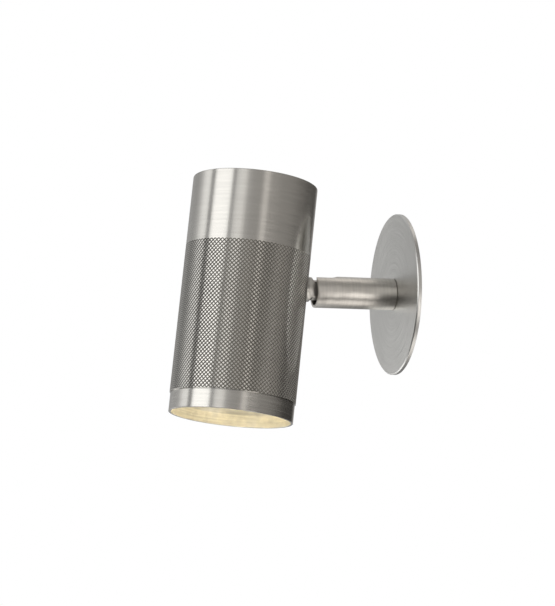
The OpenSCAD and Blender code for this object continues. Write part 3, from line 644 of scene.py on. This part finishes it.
def eased_profile(corners):
    """Points of a closed section from corners (radius, height, ease), in millimetres."""
    points = []
    for i, (r, z, ease) in enumerate(corners):
        here = Vector((r, z))
        before = Vector(corners[i - 1][:2]) - here
        after = Vector(corners[(i + 1) % len(corners)][:2]) - here
        if not ease:
            points.append(here)
            continue
        reach = ease / math.tan(before.angle(after) / 2)
        start = here + before.normalized() * reach
        end = here + after.normalized() * reach
        if before.length > HOLD_ROOM * (reach + HOLD):
            points.append(start + before.normalized() * HOLD)
        for k in range(EASE_STEPS + 1):
            t = k / EASE_STEPS
            points.append(start * (1 - t) ** 2 + here * 2 * t * (1 - t) + end * t * t)
        if after.length > HOLD_ROOM * (reach + HOLD):
            points.append(end + after.normalized() * HOLD)
    return points


def closed_mesh(name, build):
    """A mesh whose doubles are merged and whose faces point outwards."""
    work = bmesh.new()
    build(work)
    bmesh.ops.remove_doubles(work, verts=work.verts, dist=MERGE)
    bmesh.ops.recalc_face_normals(work, faces=work.faces)
    mesh = bpy.data.meshes.new(name)
    work.to_mesh(mesh)
    work.free()
    return mesh


def applied(holder):
    """The mesh of an object with its modifiers applied; the object itself is removed."""
    bpy.context.view_layer.update()
    evaluated = holder.evaluated_get(bpy.context.evaluated_depsgraph_get())
    mesh = bpy.data.meshes.new_from_object(evaluated)
    bpy.data.objects.remove(holder)
    return mesh


def finished(name, mesh, body, nodes, materials, sharp=32):
    """Links a piece to the scene, smooths it and tells the frame what it is."""
    piece = linked(name, mesh)
    for material in materials:
        mesh.materials.append(material)
    mesh.shade_smooth()
    mesh.set_sharp_from_angle(angle=math.radians(sharp))
    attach(piece, body)
    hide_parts(*nodes)
    DONE.update(nodes)
    print(f"{name}: {sum(len(p.vertices) - 2 for p in mesh.polygons)} triangles")


def turned(name, corners, place, sides=192):
    """Closed solid of revolution about the z axis of a place."""
    section = eased_profile(corners)

    def build(work):
        rings = []
        for k in range(sides):
            angle = 2 * math.pi * k / sides
            rings.append([work.verts.new(place @ (Vector(
                (p.x * math.cos(angle), p.x * math.sin(angle), p.y)) * MM)) for p in section])
        for k, ring in enumerate(rings):
            following = rings[(k + 1) % sides]
            for i in range(len(section)):
                j = (i + 1) % len(section)
                if section[i].x > 0 or section[j].x > 0:
                    work.faces.new((ring[i], following[i], following[j], ring[j]))

    return closed_mesh(name, build)


# %% [markdown]
# ## Pieces that keep the frame's shape
#
# Most pieces are already the shape they should be. A copy of each is taken, its doubles are
# merged, its flat faces are joined, and its edges are rounded by the amount that tumbling or
# moulding leaves, which is more on a moulded block than on pressed steel. The record says
# which body it rides on and which material it has.

# %% Easing the frame's shapes
SLOT_OF = {part["node"]: part["material_slot"] for part in frame["record"]["subparts"]}
BODY_OF = {node: body for body, nodes in frame["record"]["behaviour"]["bodies"].items()
           for node in nodes}
FRAME_MERGE = 0.002 * MM
FLAT_WITHIN = math.radians(1)
EDGE_FROM = math.radians(35)


def eased(node, width, steps=2):
    """Mesh of a frame node with its edges rounded by a width in millimetres."""
    work = bmesh.new()
    work.from_mesh(frame["nodes"][node].data)
    bmesh.ops.remove_doubles(work, verts=work.verts, dist=FRAME_MERGE)
    bmesh.ops.dissolve_limit(work, angle_limit=FLAT_WITHIN, verts=work.verts, edges=work.edges)
    plain = bpy.data.meshes.new(node)
    work.to_mesh(plain)
    work.free()
    plain.materials.clear()
    holder = linked(node, plain)
    bevel = holder.modifiers.new("round", "BEVEL")
    bevel.width = width * MM
    bevel.segments = steps
    bevel.limit_method = "ANGLE"
    bevel.angle_limit = EDGE_FROM
    rounded = applied(holder)
    return closed_mesh(f"{node}_shape", lambda work: work.from_mesh(rounded))


# %% [markdown]
# ## The wall plate
#
# A disc of steel, faced and brushed on the lathe, with a chamfer at its rim and a hollow
# behind for the strap. It is a plain turned section, so it is turned here again with eased
# edges and a fine enough circle.

# %% Wall plate
PLATE_RIM = 2.2
PLATE_HOLLOW_R = PLATE.out - PLATE_RIM
PLATE_HOLLOW = 1.2
PLATE_CHAMFER = 0.5

plate_mesh = turned("plate_disc", [
    (PLATE.out, PLATE.low, 0.1),
    (PLATE.out, PLATE.high - PLATE_CHAMFER, 0.12),
    (PLATE.out - PLATE_CHAMFER, PLATE.high, 0.12),
    (PLATE.bore, PLATE.high, 0.1),
    (PLATE.bore, PLATE_HOLLOW, 0.1),
    (PLATE_HOLLOW_R, PLATE_HOLLOW, 0.3),
    (PLATE_HOLLOW_R, PLATE.low, 0.1),
], WALL, sides=256)
finished("plate_disc", plate_mesh, "wall", ["wall_plate"], [PLATE_STEEL])

# %% [markdown]
# ## The trim ring and the top cap
#
# The ring at the mouth is turned from the same bar as the tube and pressed in by its spigot.
# A shallow neck under the tube makes the dark line between the two. Its inside is left as
# bored, a little rougher, and gets its own material: a paler, warmer copy of the steel, which
# is painted warm lamp light on top of the real light from the lens. A face belongs to the bore
# when it leans inwards. The cap closes the top with a thin disc and a skirt.

# %% Trim ring and cap
RING_R = 32.05
NECK_IN = 0.5
NECK_H = 0.5
NECK_TOP = TUBE.low - 0.01
LIP = 1.3
LIP_SLOPE = 2.5
SPIGOT_R = TUBE.bore - 0.04
BORE_LEAN = -0.05
CAP_T = 2
CAP_WALL = 1

ring_mesh = turned("mouth_ring", [
    (RING_R, RING.low, 0.15),
    (RING_R, TUBE.low - NECK_H, 0.15),
    (RING_R - NECK_IN, TUBE.low - NECK_H, 0),
    (RING_R - NECK_IN, NECK_TOP, 0),
    (SPIGOT_R, NECK_TOP, 0),
    (SPIGOT_R, RING.high, 0.2),
    (RING.bore, RING.high, 0.2),
    (RING.bore, TUBE.low - LIP, 0.3),
    (RING_R - LIP, TUBE.low - LIP - LIP_SLOPE, 1.0),
    (RING_R - LIP, RING.low, 0.15),
], HEAD, sides=256)
finished("mouth_ring", ring_mesh, "head", ["trim_ring"],
         [TRIM_STEEL, LAMPLIT_BORE_STEEL])


def painted(mesh, place, choose):
    """Gives each face the material that a rule picks from its radius, height and outward lean."""
    back = place.inverted()
    for face in mesh.polygons:
        middle = back @ face.center / MM
        radius = math.hypot(middle.x, middle.y)
        lean = back.to_3x3() @ face.normal
        outward = (lean.x * middle.x + lean.y * middle.y) / max(radius, 1)
        face.material_index = choose(radius, middle.z, outward)


painted(ring_mesh, HEAD, lambda radius, height, outward: int(outward < BORE_LEAN))

cap_mesh = turned("cap_disc", [
    (0, CAP.high, 0),
    (CAP.out, CAP.high, 0.25),
    (CAP.out, CAP.low, 0.1),
    (CAP.out - CAP_WALL, CAP.low, 0.1),
    (CAP.out - CAP_WALL, CAP.high - CAP_T, 0.4),
    (0, CAP.high - CAP_T, 0),
], HEAD)
finished("cap_disc", cap_mesh, "head", ["top_cap"], [TRIM_STEEL])

# %% [markdown]
# ## The knurled tube
#
# Knurling is rolled: two wheels press slanting grooves into the turning tube, one to the
# left and one to the right, and small diamonds are left standing between them. The photo
# shows each diamond catching the light on its own facets, which a bump can't do, so it is
# modelled. One tile of the pattern holds a whole diamond in its middle and a quarter of one
# in each corner, in twenty-two triangles. Each diamond is cut off flat, and these lands shine
# while the grooves between them stay dull and are darkened with painted shade. Geometry Nodes
# lay the tile on a flat grid and note how far out each point is, roll the sheet round the tube,
# and then pull its upper edge through the rest of the section: a crisp little step up to the
# smooth wall, the eased edge, the bore, and back to the knurl's lower edge, at the distance
# that was noted.

# %% One tile of knurl
LAND = 0.58


def knurl_tile():
    """Tile of unit size: lands at height 0, the bottoms of the grooves at -1."""
    work = bmesh.new()
    half = 0.5
    near = half * LAND
    edge = half - near
    valleys = [work.verts.new(p) for p in
               ((half, 0, -1), (0, half, -1), (-half, 0, -1), (0, -half, -1))]
    lands = [work.verts.new(p) for p in
             ((near, 0, 0), (0, near, 0), (-near, 0, 0), (0, -near, 0))]
    work.faces.new(lands)
    for i in range(4):
        j = (i + 1) % 4
        work.faces.new((valleys[i], valleys[j], lands[j], lands[i]))
    for i, (sx, sy) in enumerate(((1, 1), (-1, 1), (-1, -1), (1, -1))):
        corner = work.verts.new((sx * half, sy * half, 0))
        beside = work.verts.new((sx * half, sy * edge, 0))
        above = work.verts.new((sx * edge, sy * half, 0))
        first, second = (beside, above) if sx == sy else (above, beside)
        work.faces.new((corner, second, first))
        work.faces.new((valleys[i], first, second, valleys[(i + 1) % 4]))
    bmesh.ops.recalc_face_normals(work, faces=work.faces)
    mesh = bpy.data.meshes.new("knurl_tile")
    work.to_mesh(mesh)
    work.free()
    return linked("knurl_tile", mesh)


# %% The tree that rolls the tube
# Sizes are in millimetres, and the foot is a share of the easing. NEAR is how close two
# points are when they count as one.
EASE = 0.35
FOOT = 0.3
KNURL_END = 14.56
KNURL_STEP = 0.02
PITCH_ROUND = 2.15
PITCH_UP = 2.13
NEAR = 0.001 * MM
SIZES = {
    "Radius": TUBE.out, "Bore": TUBE.bore, "Low": TUBE.low, "Knurl End": KNURL_END,
    "High": TUBE.high, "Pitch Round": PITCH_ROUND, "Pitch Up": PITCH_UP, "Depth": KNURL_DEPTH,
    "Ease": EASE,
}


def tiles_rolled(sheet, tile, size):
    """Tiles laid on a flat grid, marked with how far out they reach, and rolled up."""
    radius = size["Radius"]
    length = size["Knurl End"] - size["Start"]
    around = radius * (2 * math.pi)
    columns = (around / size["Pitch Round"]).math("ROUND")
    rows = (length / size["Pitch Up"]).math("ROUND")
    wide = around / columns
    tall = length / rows
    grid = sheet.add("GeometryNodeMeshGrid", {},
                     {"Size X": around - wide, "Size Y": length - tall,
                      "Vertices X": columns, "Vertices Y": rows})
    shape = sheet.add("GeometryNodeObjectInfo", {}, {"Object": tile})["Geometry"]
    scale = sheet.add("ShaderNodeCombineXYZ", {}, {0: wide, 1: tall, 2: size["Depth"]})
    tiles = sheet.add("GeometryNodeInstanceOnPoints", {},
                      {"Points": grid, "Instance": shape, "Scale": scale})
    flat = sheet.add("GeometryNodeRealizeInstances", {}, {"Geometry": tiles})
    apart = sheet.add("ShaderNodeSeparateXYZ", {},
                      {"Vector": sheet.add("GeometryNodeInputPosition")})
    angle = apart["X"] / radius
    out = radius + apart["Z"]
    up = size["Start"] + (apart["Y"] + length / 2)
    wrapped = sheet.add("ShaderNodeCombineXYZ", {},
                        {0: out * angle.math("COSINE"), 1: out * angle.math("SINE"), 2: up})
    marked = sheet.add("GeometryNodeStoreNamedAttribute",
                       {"data_type": "FLOAT", "domain": "POINT"},
                       {"Geometry": flat, "Name": "reach", "Value": out})
    return sheet.add("GeometryNodeSetPosition", {}, {"Geometry": marked, "Position": wrapped})


def knurled_section(size, reach):
    """Rings through which the knurl's upper edge is pulled, as (radius, height)."""
    radius = size["Radius"]
    ease = size["Ease"]
    foot = size["Foot"]
    high = size["High"]
    bore = size["Bore"]
    low = size["Low"]
    small = HOLD * MM
    step = KNURL_STEP * MM
    quarter = [math.radians(90 * k / EASE_STEPS) for k in range(EASE_STEPS + 1)]
    upper = [(radius - ease * (1 - math.cos(a)), high - ease * (1 - math.sin(a))) for a in quarter]
    lower = [(radius - foot * (1 - math.cos(a)), low - step + foot * (1 - math.sin(a)))
             for a in quarter]
    return (
        [(radius, size["Knurl End"] + step), (radius, high - ease - small)] + upper
        + [(radius - ease - small, high), (bore + small, high), (bore, high - small)]
        + [(bore, low + small), (bore + small, low)]
        + lower[::-1] + [(reach, size["Start"])]
    )


def pulled_through(sheet, mesh, edge, section):
    """A mesh whose points above an edge are pulled through the rings of a section."""
    height = sheet.add("ShaderNodeSeparateXYZ", {},
                       {"Vector": sheet.add("GeometryNodeInputPosition")})["Z"]
    chosen = height.math("GREATER_THAN", edge - NEAR)
    for r, z in section:
        pulled = sheet.add("GeometryNodeExtrudeMesh", {"mode": "EDGES"},
                           {"Mesh": mesh, "Selection": chosen, "Offset Scale": 0.0})
        chosen = pulled["Top"]
        level = sheet.vector("MULTIPLY", sheet.add("GeometryNodeInputPosition"), (1, 1, 0))
        spoke = sheet.scaled(sheet.vector("NORMALIZE", level), r)
        lifted = sheet.vector("ADD", spoke, sheet.add("ShaderNodeCombineXYZ", {}, {2: z}))
        mesh = sheet.add("GeometryNodeSetPosition", {},
                         {"Geometry": pulled, "Selection": chosen, "Position": lifted})
    return mesh


def knurled_tree():
    """The whole tube from its sizes, one tile and a material."""
    group = bpy.data.node_groups.new("knurled_tube", "GeometryNodeTree")
    sheet = Sheet(group)
    sockets = group.interface
    sockets.new_socket("Geometry", in_out="OUTPUT", socket_type="NodeSocketGeometry")
    sockets.new_socket("Tile", in_out="INPUT", socket_type="NodeSocketObject")
    sockets.new_socket("Finish", in_out="INPUT", socket_type="NodeSocketMaterial")
    for name in SIZES:
        sockets.new_socket(name, in_out="INPUT", socket_type="NodeSocketFloat")
    given = sheet.add("NodeGroupInput")
    size = {name: given[name] for name in SIZES}
    size["Foot"] = size["Ease"] * FOOT
    size["Start"] = size["Low"] + size["Foot"]

    def merged(geometry):
        return sheet.add("GeometryNodeMergeByDistance", {},
                         {"Geometry": geometry, "Distance": NEAR})

    rolled = merged(tiles_rolled(sheet, given["Tile"], size))
    reach = sheet.add("GeometryNodeInputNamedAttribute", {"data_type": "FLOAT"},
                      {"Name": "reach"})["Attribute"]
    section = knurled_section(size, reach)
    solid = merged(pulled_through(sheet, rolled, size["Knurl End"], section))
    final = sheet.add("GeometryNodeRealizeInstances", {}, {"Geometry": solid})
    dressed = sheet.add("GeometryNodeSetMaterial", {},
                        {"Geometry": final, "Material": given["Finish"]})
    sheet.add("NodeGroupOutput", {}, {"Geometry": dressed})
    return group


# %% Roll the tube
def input_name(group, name):
    """Identifier by which a modifier knows an input of its tree."""
    return next(item.identifier for item in group.interface.items_tree
                if item.name == name and item.in_out == "INPUT")


def roll_tube():
    """The tube as a plain closed mesh in the head's place."""
    tile = knurl_tile()
    group = knurled_tree()
    holder = linked("tube_maker", bpy.data.meshes.new("tube_maker"))
    maker = holder.modifiers.new("knurled_tube", "NODES")
    maker.node_group = group
    maker[input_name(group, "Tile")] = tile
    maker[input_name(group, "Finish")] = HEAD_STEEL
    for name, value in SIZES.items():
        maker[input_name(group, name)] = value * MM
    rolled = applied(holder)
    bpy.data.objects.remove(tile)
    rolled.transform(HEAD)
    mesh = closed_mesh("knurled_tube", lambda work: work.from_mesh(rolled))
    print("knurled tube:", len(mesh.polygons), "faces,", open_edges(mesh), "open edges")
    return mesh


def open_edges(mesh):
    """How many edges don't have two faces; none on a closed shell."""
    uses = [0] * len(mesh.edges)
    for loop in mesh.loops:
        uses[loop.edge_index] += 1
    return sum(1 for count in uses if count != 2)


tube_mesh = roll_tube()

# %% [markdown]
# The stud and its dowel pass through the back of the tube, so two holes are cut there with
# the Boolean modifier, whose result is taken as a plain mesh.

# %% Holes in the tube
STUD_HOLE_R = 4.04
DOWEL_HOLE_R = 0.79
DOWEL_UP = 5.25
PEG_ENDS = (TUBE.bore - 4, TUBE.out + 4)
BORE_SKIN = 0.6
FOOT_RIM = 0.1


def peg(name, radius, place):
    """Plain round cutter along the z axis of a place, through the tube's wall."""
    low, high = PEG_ENDS
    mesh = turned(name, [(0, low, 0), (radius, low, 0), (radius, high, 0), (0, high, 0)],
                  place, sides=64)
    return linked(name, mesh)


def cut(mesh, cutters):
    """The mesh with the cutters taken away."""
    work = linked("work", mesh)
    for cutter in cutters:
        modifier = work.modifiers.new("cut", "BOOLEAN")
        modifier.operation = "DIFFERENCE"
        modifier.solver = "MANIFOLD"
        modifier.object = cutter
    result = applied(work)
    for cutter in cutters:
        bpy.data.objects.remove(cutter)
    return result


BACKWARD = Matrix.Rotation(math.radians(-90), 4, "X")
tube_mesh = cut(tube_mesh, [
    peg("stud_hole", STUD_HOLE_R, HEAD @ BACKWARD),
    peg("dowel_hole", DOWEL_HOLE_R,
        HEAD @ Matrix.Translation((0, 0, DOWEL_UP * MM)) @ BACKWARD),
])
print("holes cut:", open_edges(tube_mesh), "open edges")
tube_mesh.materials.clear()


def tube_finish(radius, height, outward):
    """Which material a face of the tube has: 0 brushed, 1 bored, 2 rolled."""
    # Bored faces take the material with painted warm lamp light.
    if radius < TUBE.bore + BORE_SKIN:
        return 1
    return 2 if TUBE.low + FOOT_RIM < height < KNURL_END else 0


painted(tube_mesh, HEAD, tube_finish)
finished("knurled_tube", tube_mesh, "head", ["head_tube"],
         [HEAD_STEEL, LAMPLIT_BORE_STEEL, KNURL_STEEL], sharp=20)

# %% [markdown]
# ## The stem, the hinge and the lamp
#
# The stem is a length of tube with its open end slotted for the knuckle; its end is rounded
# enough to show a bright edge. The lens is moulded with fine rings on its face, so it is
# turned here, and the rest of the lamp is taken from the frame.

# %% Stem and hinge
# Faces leaning inwards by more than this are the stem's inside, with painted shade.
STEM_LEAN = -0.3
stem_mesh = eased("stem_tube", 0.35, steps=3)
finished("stem_piece", stem_mesh, "stem", ["stem_tube"],
         [STEM_STEEL, SHADED_STEM_BORE])
painted(stem_mesh, WALL, lambda radius, height, outward: int(outward < STEM_LEAN))
finished("knuckle_piece", eased("swivel_knuckle", 0.25), "head",
         ["swivel_knuckle"], [KNUCKLE_STEEL])

# %% Lens
LENS_RINGS = 16
LENS_GROOVE = 0.22


def lens_profile():
    """Half section of the lens, with shallow rings cut in its face."""
    step = LENS.out / LENS_RINGS
    face = []
    for k in range(LENS_RINGS):
        face.append(((k + 0.5) * step, LENS.low, 0))
        face.append(((k + 1) * step, LENS.low + (LENS_GROOVE if k + 1 < LENS_RINGS else 0), 0))
    return [(0, LENS.high, 0), (0, LENS.low + LENS_GROOVE, 0)] + face + [(LENS.out, LENS.high, 0)]


finished("ringed_lens", turned("ringed_lens", lens_profile(), HEAD, sides=128), "lamp",
         ["lamp_lens"], [LENS_GLOW], sharp=15)

# %% [markdown]
# ## Everything inside
#
# The pieces that are left keep the frame's shape. What a piece is made of says how it looks
# and how far its edges are rounded, in millimetres.

# %% Everything inside
LOOKS = {
    "dark_steel": (DARK_STEEL, 0.15), "zinc_plate": (ZINC, 0.12), "brass": (BRASS, 0.12),
    "rubber": (RUBBER, 0), "nylon": (NYLON, 0.08), "ceramic": (CERAMIC, 0.3),
    "terminal_nylon": (TERMINAL, 0.35), "brown_lead": (BROWN, 0.12), "blue_lead": (BLUE, 0.12),
    "green_lead": (GREEN, 0.12), "lamp_shell": (SHELL, 0.35), "led_board": (BOARD, 0.1),
    "led_yellow": (PHOSPHOR, 0.12),
}
for node in frame["nodes"]:
    if node not in DONE:
        slot = SLOT_OF[node]
        look, rounding = LOOKS[slot]
        finished(f"{node}_piece", eased(node, rounding), BODY_OF[node], [node], [look])
